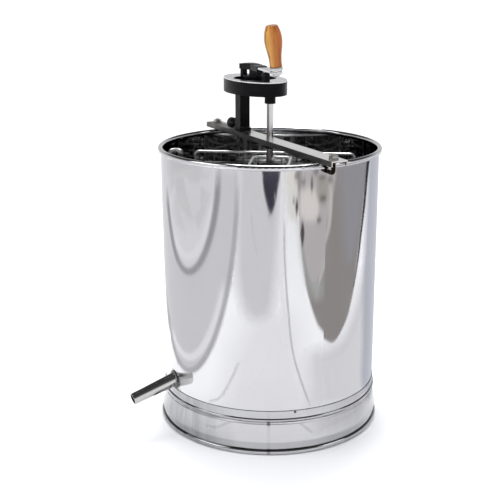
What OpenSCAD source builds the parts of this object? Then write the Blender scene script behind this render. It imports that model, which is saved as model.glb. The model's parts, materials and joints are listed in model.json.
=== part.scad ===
// Hand-cranked tangential honey extractor for two comb frames.
// Millimetres, +Z up. The origin is on the drum's axis in the plane it stands on,
// and the crossbar lies along X.

/* [Drum] */
// Outside radius of the drum wall
drum_r = 190; // [188:1:200]
// Height of the rolled rim's top above the floor
rim_top = 497.3; // [480:0.1:520]
// Thickness of the drum's sheet metal
sheet_t = 0.8; // [0.6:0.1:1]
// Radius of the rolled rim's section
rim_bead_r = 4.8; // [4:0.1:5.5]
// Height of the lap seam where the base skirt ends on the wall
seam_z = 78; // [76:1:82]

/* [Honey outlet] */
// Direction of the outlet around the drum, in degrees from +X
outlet_turn = -90; // [-120:1:-60]
// Height of the outlet's axis where it leaves the wall
outlet_z = 93; // [92:0.5:98]
// Downward slope of the outlet in degrees
outlet_slope = 16; // [8:1:20]
// Length of the tapered part of the outlet beyond the wall
outlet_taper_len = 67; // [50:1:80]
// Length of the straight tip of the outlet
outlet_tip_len = 15; // [10:1:20]
// Outside radius at the outlet's tip
outlet_tip_r = 10.5; // [9:0.5:11.5]

/* [Crossbar] */
// Half the crossbar's length
bar_half = 227; // [222:1:230]
// Width of the crossbar
bar_w = 30; // [28:1:34]
// Height of the crossbar's channel section
bar_h = 9; // [8:0.5:10]
// Distance of each hook bolt from the drum's axis
hook_x = 209; // [207:1:212]

/* [Gear head] */
// Module of the gear teeth
gear_module = 2; // [2:2:2]
// Number of teeth on the crank's gear
gear_teeth = 42; // [42:14:42]
// Number of teeth on the basket's pinion
pinion_teeth = 14; // [14:14:14]
// Half the length of the oval gear housing
housing_a = 79; // [78:0.5:84]
// Half the width of the oval gear housing
housing_b = 48; // [48:0.5:52]
// Height of the housing's underside above the floor
housing_z = 581.5; // [575:0.1:590]
// Width of the square post that carries the housing
post_w = 19.5; // [16:0.5:20]

/* [Crank] */
// Direction of the crank arm at rest, in degrees from +X
crank_turn = -8.7; // [-30:0.1:30]
// Distance from the crank's axis to the grip's axis
crank_len = 110; // [100:1:120]
// Sideways lean of the grip in degrees
grip_lean = 7; // [0:1:8]

/* [Basket] */
// Direction of the basket's long side at rest, in degrees from +X
basket_turn = 56.5; // [0:0.5:180]
// Half the length of the basket
basket_half = 147; // [130:1:150]
// Distance of the outer panels from the axis
panel_y = 94.5; // [92:0.5:96]
// Height of the basket's top wires
basket_top = 464.5; // [455:0.5:470]
// Height of the basket's bottom wires
basket_low = 118; // [116:1:130]
// Radius of the heavy basket wires
wire_r = 2.5; // [2:0.1:3]
// Spacing of the mesh wires
mesh_pitch = 14; // [12:1:20]

/* [Hidden] */

$fn = 96;
// Gap that stands for a weld between two wires, and running clearance of a shaft in its bush
weld_gap = 0.04;
run_gap = 0.05;
eps = 0.01;

steel = "gainsboro";
stainless = "lightgray";
enamel = "black";
bronze = "peru";
wood = "orange";

wall_in = drum_r - sheet_t;
rim_bead_z = rim_top - rim_bead_r;
rim_bead_c = drum_r + 0.6;
skirt_bead_r = 5;
skirt_bead_c = drum_r + 3.6;
swage_z = 61.5;
swage_r = 2.8;
floor_edge_z = 80;
floor_rise = 10;
outlet_root_r = 12.5;
outlet_wall = 1.2;
outlet_inset = 6;

shaft_r = 6;
cup_r = 14;
cup_z = floor_edge_z + floor_rise + 1;
cup_floor = cup_z + 4;
cup_top = cup_z + 22;
ball_r = 4;
shaft_low = cup_floor + 2 * ball_r + run_gap;

bar_low = rim_top;
bar_top = bar_low + bar_h;
bar_t = 2;
bar_bush_r = 8;
hook_r = 3.5;
hook_bend = 5;
hook_nut_h = 4.6;
hook_low = rim_bead_z - rim_bead_r - hook_r - 0.5;

gear_pitch_r = gear_module * gear_teeth / 2;
pinion_pitch_r = gear_module * pinion_teeth / 2;
gear_x = -(gear_pitch_r + pinion_pitch_r);
pressure_angle = 25;
tooth_slack = 0.15;
gear_cavity_r = gear_pitch_r + gear_module + 1.5;
pinion_cavity_r = pinion_pitch_r + gear_module + 1.5;
case_floor = 6.7;
case_z = housing_z + case_floor;
case_top = housing_z + 22.7;
plate_t = 2;
plate_top = case_top + plate_t;
shaft_top = case_top + 0.6;
well_r = 38;
gear_z = case_z + 2;
gear_w = 12;
gear_top = gear_z + gear_w;
collar_r = 9.6;
collar_drop = 13.3;
bush_r = 7.5;
axle_r = 6;
axle_top = gear_top - 7;
axle_screw_r = 2.5;
gear_bush_r = 9;
post_x = gear_x - 48.5;
foot_l = 22;
foot_w = 23;
foot_h = 7;
spigot_r = 5.5;
spigot_h = 22;
thumb_z = bar_top + 11;
thumb_r = 10;
thumb_out = 21.7;
thumb_thread_r = 3;
thumb_turn = 195;
cover_screw_at = [[3, 25], [3, -25], [2 * gear_x - 2, 21], [2 * gear_x - 2, -21]];
cover_screw_r = 1.9;
lug_screw_r = 1.3;

lug_at = [-5, -6];
lug_screw_at = [-7, -8.5];
lug_w = 10.6;
lug_h = 15;
arm_low = housing_z + 43.1;
arm_t = 4;
arm_w = 17;
arm_end_r = 9.5;
arm_mid = arm_low + arm_t / 2;
yoke_turn = 10;
yoke_w = 15;
yoke_tail = -36;
yoke_tail_l = 7;
yoke_hub = -7;
yoke_nose = 14;
yoke_arch = gear_top + 18;
yoke_foot_r = 20;
yoke_foot_h = 9;
yoke_top = arm_low + arm_t + 2.6;
yoke_screw_at = [[yoke_tail + yoke_tail_l / 2, 0], [0, 14], [0, -14]];
yoke_screw_r = 2;
crown_r = 150;
arm_root = 1;
arm_shoulder = 16;
socket_len = 36;
socket_low = arm_low - 4;
socket_top = arm_low + arm_t + 1.2;
arm_tenon_w = 9;
arm_pin_at = 8;
spindle_r = 3;
sleeve_r = 4;
grip_base = 9;
grip_len = 69;
spindle_head_r = 5.5;
spindle_low = -arm_t / 2 - 4;
grip_recess = 7;
grip_belly = 0.64;

core_x = 34;
core_y = 52;
basket_mid = (basket_top + basket_low) / 2;
hub_z = basket_top - 60;
ring_levels = [basket_low, basket_mid, hub_z, basket_top];
wire_step = 2 * wire_r + weld_gap;
tie_levels = [basket_low + wire_step, basket_mid + wire_step, hub_z + wire_step];
hub_r = 11;
hub_h = 16;
bend_r = 8;
rib_r = 2;
mesh_r = 0.9;

// ---- Shared shapes ----

// Straight round wire between two points
module rod(a, b, r) {
    d = b - a;
    reach = norm(d);
    translate(a)
        rotate([0, acos(d.z / reach), atan2(d.y, d.x)])
            cylinder(h = reach, r = r, $fn = 32);
}

// Ring with a rectangular section
module tube(r_out, r_in, z0, z1) {
    translate([0, 0, z0]) difference() {
        cylinder(h = z1 - z0, r = r_out);
        translate([0, 0, -1]) cylinder(h = z1 - z0 + 2, r = r_in);
    }
}

module hex(af, h) {
    cylinder(h = h, r = af / 2 / cos(30), $fn = 6);
}

// Countersunk screw whose flat head ends at z = 0 and whose shank goes down
module flat_screw(r, reach) {
    difference() {
        union() {
            translate([0, 0, -r]) cylinder(h = r, r1 = r, r2 = 2 * r, $fn = 32);
            translate([0, 0, -reach]) cylinder(h = reach - r + eps, r = r, $fn = 32);
        }
        translate([-3 * r, -r / 4, -r / 2]) cube([6 * r, r / 2, r]);
    }
}

// Hole that a flat_screw of the same size fills
module flat_screw_hole(r, reach) {
    translate([0, 0, -r]) cylinder(h = r, r1 = r, r2 = 2 * r, $fn = 32);
    translate([0, 0, -reach]) cylinder(h = reach - r + eps, r = r, $fn = 32);
    cylinder(h = 1, r = 2 * r, $fn = 32);
}

// Involute gear outline: each tooth's half angle at radius r, in degrees
function inv_angle(base_r, r) = r <= base_r ? 0
    : tan(acos(base_r / r)) * 180 / PI - acos(base_r / r);
function half_tooth(teeth, pitch_r, r) =
    90 / teeth - tooth_slack / pitch_r * 180 / PI
    + inv_angle(pitch_r * cos(pressure_angle), pitch_r)
    - inv_angle(pitch_r * cos(pressure_angle), r);
function polar(r, a) = [r * cos(a), r * sin(a)];
function tooth_outline(teeth, pitch_r, centre) =
    let (root = pitch_r - 1.25 * gear_module, tip = pitch_r + gear_module,
         base = max(root + 0.2, pitch_r * cos(pressure_angle)),
         climb = [root, for (s = [0 : 4]) base + (tip - base) * s / 4])
    concat([for (r = climb) polar(r, centre - half_tooth(teeth, pitch_r, r))],
           [for (i = [len(climb) - 1 : -1 : 0])
               polar(climb[i], centre + half_tooth(teeth, pitch_r, climb[i]))]);
module gear_blank(teeth, phase) {
    pitch_r = gear_module * teeth / 2;
    translate([0, 0, gear_z]) linear_extrude(gear_w)
        polygon([for (i = [0 : teeth - 1])
            each tooth_outline(teeth, pitch_r, phase + i * 360 / teeth)]);
}

module oval(a, b, h) {
    linear_extrude(h) polygon([for (i = [0 : 119]) [a * cos(3 * i), b * sin(3 * i)]]);
}

// Places that turn with the crank, the grip or the basket at rest
module on_crank() {
    translate([gear_x, 0, 0]) rotate([0, 0, crank_turn]) children();
}
module on_grip() {
    on_crank() translate([crank_len, 0, arm_mid]) rotate([grip_lean, 0, 0]) children();
}
module on_basket() {
    rotate([0, 0, basket_turn]) children();
}

// ---- Drum ----

// Axis of the outlet, with +Z along the tube away from the drum
module at_outlet() {
    rotate([0, 0, outlet_turn]) translate([drum_r, 0, outlet_z])
        rotate([0, 90 + outlet_slope, 0]) children();
}
module outlet_body() {
    at_outlet() {
        translate([0, 0, -outlet_inset])
            cylinder(h = outlet_inset + outlet_taper_len, r1 = outlet_root_r, r2 = outlet_tip_r);
        translate([0, 0, outlet_taper_len - eps])
            cylinder(h = outlet_tip_len + eps, r = outlet_tip_r);
    }
}

// Wall of polished sheet, rolled outward and inward over a wire at the top
module drum_shell() {
    color(stainless) difference() {
        union() {
            tube(drum_r, wall_in, 56, rim_bead_z);
            rotate_extrude($fn = 180) translate([rim_bead_c, rim_bead_z]) circle(rim_bead_r, $fn = 48);
        }
        rotate_extrude($fn = 180)
            translate([rim_bead_c, rim_bead_z]) circle(rim_bead_r - sheet_t, $fn = 48);
        outlet_body();
    }
}

module rim_wire() {
    color(steel) rotate_extrude($fn = 180)
        translate([rim_bead_c, rim_bead_z]) circle(rim_bead_r - sheet_t - run_gap, $fn = 32);
}

// Floor of the drum: a low cone with an upturned flange, lapped inside the wall
module drum_bottom() {
    color(stainless) rotate_extrude($fn = 180) polygon([
        [0, floor_edge_z + floor_rise], [cup_r + 4, floor_edge_z + floor_rise],
        [wall_in - 4, floor_edge_z], [wall_in - 1, floor_edge_z], [wall_in - 1, 64],
        [wall_in, 64], [wall_in, floor_edge_z + 1], [wall_in - 4, floor_edge_z + 1],
        [cup_r + 4, floor_edge_z + floor_rise + 1], [0, floor_edge_z + floor_rise + 1]]);
}

// Flared ring that the drum stands on, lapped over the wall up to the seam
module base_skirt() {
    color(stainless) union() {
        tube(drum_r + sheet_t, drum_r, 56, seam_z);
        rotate_extrude($fn = 180) intersection() {
            translate([drum_r + 0.4, swage_z]) circle(swage_r, $fn = 48);
            translate([drum_r, 50]) square([10, 20]);
        }
        rotate_extrude($fn = 180) polygon([
            [drum_r, 57], [drum_r, 55], [drum_r + 0.7, 53.5], [drum_r + 5.7, 22.6],
            [drum_r + 5.2, 20.8], [drum_r + 3.6, 9], [drum_r + 4.6, 9], [drum_r + 6, 20.4],
            [drum_r + 6.6, 22.6], [drum_r + 1.9, 53.4], [drum_r + 1.2, 55], [drum_r + sheet_t, 57]]);
        rotate_extrude($fn = 180) intersection() {
            translate([skirt_bead_c, skirt_bead_r - 0.4]) circle(skirt_bead_r, $fn = 48);
            translate([drum_r - 5, 0]) square([20, 20]);
        }
    }
}

// Rivets that hold the skirt's lap to the wall
module skirt_rivets() {
    color(steel) for (turn = [-15, 105, 225])
        rotate([0, 0, turn]) translate([drum_r + sheet_t, 0, seam_z - 3])
            rotate([0, 90, 0]) cylinder(h = 1.2, r1 = 2.4, r2 = 1.6, $fn = 32);
}

// Tapered outlet tube, open at both ends and set into the wall
module outlet_spout() {
    color(stainless) difference() {
        outlet_body();
        at_outlet() {
            translate([0, 0, -outlet_inset - eps])
                cylinder(h = outlet_inset + outlet_taper_len + 2 * eps,
                         r1 = outlet_root_r - outlet_wall, r2 = outlet_tip_r - outlet_wall);
            translate([0, 0, outlet_taper_len])
                cylinder(h = outlet_tip_len + 1, r = outlet_tip_r - outlet_wall);
        }
        cylinder(h = rim_top, r = wall_in);
    }
}

// Cup on the drum's floor that steadies the foot of the shaft
module pivot_cup() {
    color(bronze) difference() {
        union() {
            translate([0, 0, cup_z]) cylinder(h = cup_top - cup_z, r = 11);
            translate([0, 0, cup_z]) cylinder(h = 4, r = cup_r + 4);
        }
        translate([0, 0, cup_floor]) cylinder(h = 40, r = shaft_r + run_gap);
    }
}

module pivot_ball() {
    color(steel) translate([0, 0, cup_floor + ball_r]) sphere(ball_r, $fn = 48);
}

// ---- Crossbar and its fixings ----

// Inverted channel that lies across the rim
module crossbar() {
    color(steel) difference() {
        translate([-bar_half, -bar_w / 2, bar_low]) cube([2 * bar_half, bar_w, bar_h]);
        translate([-bar_half - 1, -bar_w / 2 + bar_t, bar_low - 1])
            cube([2 * bar_half + 2, bar_w - 2 * bar_t, bar_h - bar_t + 1]);
        translate([0, 0, bar_low]) cylinder(h = 20, r = bar_bush_r);
        for (side = [-1, 1]) translate([side * hook_x, 0, bar_low]) cylinder(h = 20, r = hook_r + 0.3);
    }
}

// Flanged bush for the shaft, held up in the crossbar's web
module bar_bush() {
    color(steel) difference() {
        union() {
            translate([0, 0, bar_low - 7]) cylinder(h = bar_h + 7, r = bar_bush_r);
            translate([0, 0, bar_top - bar_t - 3]) cylinder(h = 3, r = 12);
        }
        translate([0, 0, bar_low - 10]) cylinder(h = 30, r = shaft_r + run_gap);
    }
}

// Bolts that hook under the rolled rim
module hook_bolts() {
    color(steel) for (side = [0, 180]) rotate([0, 0, side]) union() {
        translate([hook_x, 0, hook_low + hook_bend])
            cylinder(h = bar_top + 7.4 - hook_low - hook_bend, r = hook_r, $fn = 32);
        translate([hook_x - hook_bend, 0, hook_low + hook_bend]) rotate([90, 90, 0])
            rotate_extrude(angle = 90) translate([hook_bend, 0]) circle(hook_r, $fn = 32);
        translate([drum_r + 1.5, 0, hook_low]) rotate([0, 90, 0])
            cylinder(h = hook_x - hook_bend - drum_r - 1.5, r = hook_r, $fn = 32);
    }
}

module hook_washers() {
    color(steel) for (side = [-1, 1])
        translate([side * hook_x, 0, 0]) tube(8, hook_r + 0.2, bar_top, bar_top + 1.4, $fn = 48);
}

module hook_nuts() {
    color(steel) for (side = [-1, 1]) translate([side * hook_x, 0, bar_top + 1.4])
        rotate([0, 0, 12]) difference() {
            intersection() {
                hex(13, hook_nut_h);
                cylinder(h = hook_nut_h, r1 = 8.4, r2 = 7, $fn = 48);
            }
            translate([0, 0, -1]) cylinder(h = 9, r = hook_r + 0.02, $fn = 32);
        }
}

// Peg on the crossbar that the post drops over
module post_spigot() {
    color(steel) difference() {
        translate([post_x, 0, bar_top]) cylinder(h = spigot_h, r = spigot_r);
        thumb_thread(thumb_thread_r + 0.1, 4);
    }
}

// ---- Gear head ----

// Hole along the thumb screw's axis, from inside the spigot outward
module thumb_thread(r, from) {
    translate([post_x, 0, thumb_z]) rotate([0, 0, thumb_turn]) translate([from, 0, 0])
        rotate([0, 90, 0]) cylinder(h = 40, r = r, $fn = 32);
}

// One casting: foot, square post, oval gear case and the shaft's collar
module gear_bracket() {
    color(enamel) difference() {
        union() {
            translate([gear_x, 0, housing_z]) oval(housing_a, housing_b, case_top - housing_z);
            translate([post_x - post_w / 2, -post_w / 2, bar_top])
                cube([post_w, post_w, housing_z - bar_top + 1]);
            translate([post_x - foot_l / 2, -foot_w / 2, bar_top]) cube([foot_l, foot_w, foot_h]);
            translate([0, 0, housing_z - collar_drop]) cylinder(h = collar_drop + 1, r = collar_r);
        }
        translate([gear_x, 0, case_z]) cylinder(h = 40, r = gear_cavity_r);
        translate([0, 0, case_z]) cylinder(h = 40, r = pinion_cavity_r);
        translate([0, 0, housing_z - 20]) cylinder(h = 40, r = bush_r);
        translate([gear_x, 0, housing_z - 1]) cylinder(h = 20, r = axle_r);
        translate([post_x, 0, bar_top - 1]) cylinder(h = spigot_h + 3, r = spigot_r + 0.2);
        thumb_thread(thumb_thread_r + 0.1, 0);
        for (at = cover_screw_at) translate([at.x, at.y, case_top - 12])
            cylinder(h = 20, r = cover_screw_r);
    }
}

// Bright plate over the gears, with a round well for the yoke
module cover_plate() {
    color(stainless) difference() {
        translate([gear_x, 0, case_top]) oval(housing_a - 0.4, housing_b - 0.4, plate_t);
        translate([gear_x, 0, case_top - 1]) cylinder(h = plate_t + 2, r = well_r);
        translate([0, 0, case_top - 1]) cylinder(h = shaft_top - case_top + 1.2, r = shaft_r + run_gap);
        translate([lug_screw_at.x, lug_screw_at.y, case_top]) mirror([0, 0, 1])
            flat_screw_hole(lug_screw_r, plate_t + 1);
        for (at = cover_screw_at) translate([at.x, at.y, plate_top])
            flat_screw_hole(cover_screw_r, plate_t + 1);
    }
}

module cover_screws() {
    color(steel) for (at = cover_screw_at)
        translate([at.x, at.y, plate_top]) flat_screw(cover_screw_r, plate_t + 8);
}

// Cast lug beside the top of the shaft, with a chamfered shoulder and a small oil cap
module oil_lug() {
    color(enamel) difference() {
        union() {
            translate([lug_at.x - lug_w / 2, lug_at.y - lug_w / 2, plate_top]) cube([lug_w, lug_w, lug_h]);
            translate([lug_at.x + 2, lug_at.y + 3, plate_top + lug_h - eps])
                cylinder(h = 2, r = 1.6, $fn = 32);
        }
        translate([lug_at.x - lug_w / 2, lug_at.y - lug_w, plate_top + lug_h - 2.5])
            rotate([0, -40, 0]) cube([12, 2 * lug_w, 6]);
        translate([lug_screw_at.x, lug_screw_at.y, plate_top - 1])
            cylinder(h = 9, r = lug_screw_r, $fn = 32);
    }
}

// Countersunk screw up through the plate into the lug
module lug_screw() {
    color(steel) translate([lug_screw_at.x, lug_screw_at.y, case_top]) mirror([0, 0, 1])
        flat_screw(lug_screw_r, plate_t + 7);
}

module housing_bush() {
    color(bronze) tube(bush_r, shaft_r + run_gap, housing_z - collar_drop, case_z);
}

// Fixed stub that the crank's gear turns on
module gear_axle() {
    color(steel) difference() {
        translate([gear_x, 0, housing_z]) cylinder(h = axle_top - housing_z, r = axle_r);
        translate([gear_x, 0, axle_top - 9]) cylinder(h = 20, r = axle_screw_r, $fn = 32);
    }
}

module axle_washer() {
    color(steel) translate([gear_x, 0, 0]) tube(10, axle_screw_r + 0.1, axle_top, axle_top + 1.5, $fn = 48);
}

module axle_screw() {
    color(steel) translate([gear_x, 0, 0]) union() {
        translate([0, 0, axle_top - 8]) cylinder(h = 10, r = axle_screw_r - 0.01, $fn = 32);
        translate([0, 0, axle_top + 1.5]) hex(8, 3.5);
    }
}

// Knurled knob whose screw locks the post on its peg
module thumb_screw() {
    color(enamel) translate([post_x, 0, thumb_z]) rotate([0, 0, thumb_turn]) rotate([0, 90, 0]) union() {
        translate([0, 0, 5]) cylinder(h = thumb_out - 4, r = thumb_thread_r, $fn = 32);
        translate([0, 0, thumb_out]) cylinder(h = 3, r1 = 5, r2 = thumb_r - 0.8, $fn = 48);
        translate([0, 0, thumb_out + 3]) cylinder(h = 8, r = thumb_r - 0.8, $fn = 48);
        translate([0, 0, thumb_out + 11]) cylinder(h = 2, r1 = thumb_r - 0.8, r2 = 7, $fn = 48);
        for (i = [0 : 11]) rotate([0, 0, i * 30]) translate([thumb_r - 1.3, 0, thumb_out + 3.3])
            cylinder(h = 7.4, r = 1.3, $fn = 16);
    }
}

// ---- Crank ----

module on_yoke() {
    translate([gear_x, 0, 0]) rotate([0, 0, yoke_turn]) children();
}

module crank_gear() {
    color(enamel) difference() {
        translate([gear_x, 0, 0]) union() {
            gear_blank(gear_teeth, 0);
            translate([0, 0, case_z + 0.3]) cylinder(h = 3, r = 14);
        }
        translate([gear_x, 0, case_z - 1]) cylinder(h = 30, r = gear_bush_r);
        translate([gear_x, 0, axle_top - 0.4]) cylinder(h = 30, r = 10.6);
        on_yoke() for (at = yoke_screw_at) translate([at.x, at.y, gear_z - 1])
            cylinder(h = 20, r = yoke_screw_r, $fn = 32);
    }
}

module gear_bush() {
    color(bronze) translate([gear_x, 0, 0])
        tube(gear_bush_r, axle_r + run_gap, case_z + 0.3, axle_top - 0.4);
}

// Cast arch on the gear: a slim tail leg, a stout hub that grips the arm, and a crowned top
module crank_yoke() {
    color(enamel) difference() {
        union() {
            on_yoke() union() {
                translate([yoke_tail, -yoke_w / 3, gear_top])
                    cube([yoke_tail_l, yoke_w * 2 / 3, yoke_arch - gear_top + 1]);
                translate([yoke_hub, -yoke_w / 2, gear_top])
                    cube([yoke_nose - yoke_hub, yoke_w, yoke_arch - gear_top + 1]);
                translate([0, 0, gear_top]) cylinder(h = yoke_foot_h, r = yoke_foot_r);
                intersection() {
                    translate([yoke_tail, -yoke_w / 2, yoke_arch])
                        cube([yoke_nose - yoke_tail, yoke_w, yoke_top - yoke_arch + 2]);
                    translate([(yoke_nose + yoke_tail) / 2, 50, yoke_top - crown_r]) rotate([90, 0, 0])
                        cylinder(h = 100, r = crown_r);
                }
            }
            on_crank() translate([arm_root, -arm_w / 2 - 1, socket_low])
                cube([socket_len, arm_w + 2, socket_top - socket_low]);
        }
        arm_blank();
        on_yoke() for (at = yoke_screw_at) translate([at.x, at.y, gear_top - 1])
            cylinder(h = 3.5, r = yoke_screw_r, $fn = 32);
        arm_pin_blank(30);
    }
}

// Studs that hold the yoke to the gear
module yoke_screws() {
    color(steel) on_yoke() for (at = yoke_screw_at) translate([at.x, at.y, gear_z])
        cylinder(h = gear_w + 2.5, r = yoke_screw_r, $fn = 32);
}

// Flat bar with a slim tenon in the yoke and a round end turned a little to lean the grip
module arm_blank() {
    on_crank() {
        translate([arm_root, -arm_tenon_w / 2, arm_low])
            cube([arm_shoulder - arm_root + 1, arm_tenon_w, arm_t]);
        translate([arm_shoulder, -arm_w / 2, arm_low]) cube([crank_len - 8 - arm_shoulder, arm_w, arm_t]);
    }
    on_grip() translate([0, 0, -arm_t / 2]) cylinder(h = arm_t, r = arm_end_r);
}
module arm_pin_blank(reach) {
    on_crank() translate([arm_pin_at, 0, arm_low - 6]) cylinder(h = reach, r = yoke_screw_r, $fn = 32);
}
module crank_arm() {
    color(steel) difference() {
        union() arm_blank();
        arm_pin_blank(30);
        on_grip() translate([0, 0, -10]) cylinder(h = 20, r = spindle_r);
    }
}
module arm_pin() {
    color(steel) arm_pin_blank(yoke_top - arm_low + 4.6);
}

// Bright collar between the arm and the grip
module grip_collar() {
    color(steel) on_grip() difference() {
        union() {
            translate([0, 0, arm_t / 2]) cylinder(h = 2.4, r = 7);
            translate([0, 0, arm_t / 2 + 2.4]) cylinder(h = 3.4, r1 = 11.4, r2 = 10.6);
        }
        cylinder(h = 30, r = spindle_r);
    }
}

// Shoulder screw up through the arm, its head sunk in the top of the grip
module grip_spindle() {
    color(steel) on_grip() difference() {
        union() {
            translate([0, 0, spindle_low])
                cylinder(h = grip_base + grip_len - grip_recess + 0.4 - spindle_low,
                         r = spindle_r, $fn = 48);
            translate([0, 0, grip_base + grip_len - grip_recess + 0.35])
                cylinder(h = 3.2, r1 = spindle_head_r, r2 = spindle_head_r - 1, $fn = 48);
        }
        translate([-10, -0.6, grip_base + grip_len - grip_recess + 2.2]) cube([20, 1.2, 5]);
    }
}

module spindle_nut() {
    color(steel) on_grip() difference() {
        union() {
            translate([0, 0, -arm_t / 2 - 2.4]) hex(12, 2.4);
            translate([0, 0, -arm_t / 2 - 3.4]) cylinder(h = 1, r1 = 4.6, r2 = 5.8, $fn = 48);
        }
        translate([0, 0, -10]) cylinder(h = 12, r = spindle_r, $fn = 48);
    }
}

// Turned grip: a foot ring, a slim neck, a full belly and a flat-cut top, with t from 0 to 1
function grip_neck(t) = 10.1 + 5 * pow(sin(90 * pow(t / grip_belly, 1.35)), 2)
    + 0.9 * pow(max(0, 1 - t / 0.1), 2);
function grip_shoulder(t) = 15.1 - 6 * pow((t - grip_belly) / (1 - grip_belly), 2.2);
function grip_r(t) = t < grip_belly ? grip_neck(t) : grip_shoulder(t);
module wood_grip() {
    steps = 28;
    color(wood) on_grip() difference() {
        translate([0, 0, grip_base]) rotate_extrude() polygon(concat(
            [[0, 0], [grip_r(0) - 0.8, 0]],
            [for (i = [0 : steps]) let (t = 0.012 + 0.976 * i / steps) [grip_r(t), grip_len * t]],
            [[grip_r(1) - 0.8, grip_len], [0, grip_len]]));
        cylinder(h = 120, r = sleeve_r);
        translate([0, 0, grip_base + grip_len - grip_recess]) cylinder(h = 20, r = spindle_head_r + 0.6);
    }
}

module grip_sleeve() {
    color(bronze) on_grip()
        tube(sleeve_r, spindle_r + run_gap, grip_base - 0.8, grip_base + grip_len - grip_recess);
}

module grip_ferrule() {
    color(steel) on_grip() tube(10.2, sleeve_r, grip_base - 0.8, grip_base);
}

// ---- Basket ----

module basket_shaft() {
    color(steel) difference() {
        translate([0, 0, shaft_low]) cylinder(h = shaft_top - shaft_low, r = shaft_r);
        translate([4, -2, gear_z]) cube([4, 4, gear_w]);
    }
}

module pinion() {
    color(steel) difference() {
        gear_blank(pinion_teeth, 180 / pinion_teeth);
        translate([0, 0, gear_z - 1]) cylinder(h = gear_w + 2, r = shaft_r);
        translate([4, -2, gear_z - 1]) cube([4, 4, gear_w + 2]);
    }
}

module pinion_key() {
    color(steel) translate([4, -2, gear_z]) cube([4, 4, gear_w]);
}

// Collar on the shaft with two flat straps out to the core ring
module hub(z) {
    on_basket() difference() {
        union() {
            translate([0, 0, z - 1.5]) cylinder(h = hub_h, r = hub_r);
            translate([-7, -core_y + wire_r + weld_gap, z - 1.5])
                cube([14, 2 * (core_y - wire_r - weld_gap), 3]);
        }
        translate([0, 0, z - hub_h]) cylinder(h = 2 * hub_h, r = shaft_r);
        translate([0, 0, z + 8]) rotate([0, 90, 0]) cylinder(h = 30, r = 2, $fn = 32);
    }
}
module top_hub() {
    color(stainless) hub(hub_z);
}
module bottom_hub() {
    color(stainless) hub(basket_low);
}

// Set screws that lock the hubs on the shaft
module hub_screws() {
    color(steel) on_basket() for (z = [basket_low, hub_z])
        translate([shaft_r, 0, z + 8]) rotate([0, 90, 0])
            cylinder(h = hub_r - shaft_r + 1, r = 2, $fn = 32);
}

// Closed rectangle of wire with bent corners, centred on the origin in the XY plane
module wire_loop(half_x, half_y, r) {
    for (turn = [0, 180]) rotate([0, 0, turn]) {
        translate([half_x, -half_y + bend_r, 0]) rotate([-90, 0, 0])
            cylinder(h = 2 * (half_y - bend_r), r = r, $fn = 32);
        translate([-half_x + bend_r, half_y, 0]) rotate([0, 90, 0])
            cylinder(h = 2 * (half_x - bend_r), r = r, $fn = 32);
        translate([half_x - bend_r, half_y - bend_r, 0])
            rotate_extrude(angle = 90) translate([bend_r, 0]) circle(r, $fn = 32);
        translate([half_x - bend_r, -half_y + bend_r, 0])
            rotate([0, 0, -90]) rotate_extrude(angle = 90) translate([bend_r, 0]) circle(r, $fn = 32);
    }
}

// Three wire rectangles around the shaft that keep the combs apart
module core_rings() {
    color(stainless) on_basket() for (z = ring_levels) translate([0, 0, z])
        union() wire_loop(core_x, core_y, wire_r);
}

module core_uprights() {
    color(stainless) on_basket() for (sx = [-1, 1], sy = [-1, 1])
        translate([sx * (core_x - wire_step), sy * (core_y - 2 * bend_r), basket_low - wire_r])
            cylinder(h = basket_top - basket_low + 2 * wire_r, r = wire_r, $fn = 32);
}

// Outer panel: a wire frame with two cross ribs, standing on one side of the axis
module panel_frame(side) {
    tall = (basket_top - basket_low) / 2;
    rib_y = side * (panel_y + wire_r + rib_r + weld_gap);
    color(stainless) on_basket() {
        translate([0, side * panel_y, basket_mid]) rotate([90, 0, 0])
            union() wire_loop(basket_half, tall, wire_r);
        for (z = [basket_mid - tall / 3, basket_mid + tall / 3])
            rod([-basket_half, rib_y, z], [basket_half, rib_y, z], rib_r);
    }
}
module panel_frame_a() {
    panel_frame(1);
}
module panel_frame_b() {
    panel_frame(-1);
}

// Mesh against the inner side of a panel: upright wires, then cross wires outside them
module panel_mesh(side) {
    tall = basket_top - basket_low;
    across = floor((basket_half - wire_r - 4) / mesh_pitch);
    rows = floor((tall / 2 - wire_r - 4) / mesh_pitch);
    up_y = side * (panel_y - mesh_r - 0.4);
    cross_y = side * (panel_y + mesh_r - 0.4 + weld_gap);
    color(stainless) on_basket() {
        for (i = [-across : across]) rod([i * mesh_pitch, up_y, basket_low + wire_r + weld_gap],
                                         [i * mesh_pitch, up_y, basket_top - wire_r - weld_gap], mesh_r);
        for (j = [-rows : rows]) let (z = basket_mid + j * mesh_pitch)
            rod([-basket_half + wire_r + weld_gap, cross_y, z],
                [basket_half - wire_r - weld_gap, cross_y, z], mesh_r);
    }
}
module panel_mesh_a() {
    panel_mesh(1);
}
module panel_mesh_b() {
    panel_mesh(-1);
}

// Wires across both ends that join the two panels
module end_ties() {
    reach = panel_y - wire_r - weld_gap;
    color(stainless) on_basket() for (sx = [-1, 1], z = tie_levels)
        rod([sx * basket_half, -reach, z], [sx * basket_half, reach, z], wire_r);
}

// Wires from the core out to the end ties
module spoke_wires() {
    spoke_y = core_y - 22;
    color(stainless) on_basket() for (sx = [-1, 1], sy = [-1, 1], z = tie_levels)
        rod([sx * (core_x + wire_r + weld_gap), sy * spoke_y, z - wire_step],
            [sx * (basket_half + 2), sy * spoke_y, z - wire_step], wire_r);
}

// Wires under the frames that carry the combs' weight
module floor_wires() {
    z = basket_low - wire_step;
    color(stainless) on_basket() for (side = [-1, 1], x = [-110, -70, -22, 22, 70, 110])
        rod([x, side * (core_y - 30), z], [x, side * (panel_y + 2), z], wire_r);
}

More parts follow.
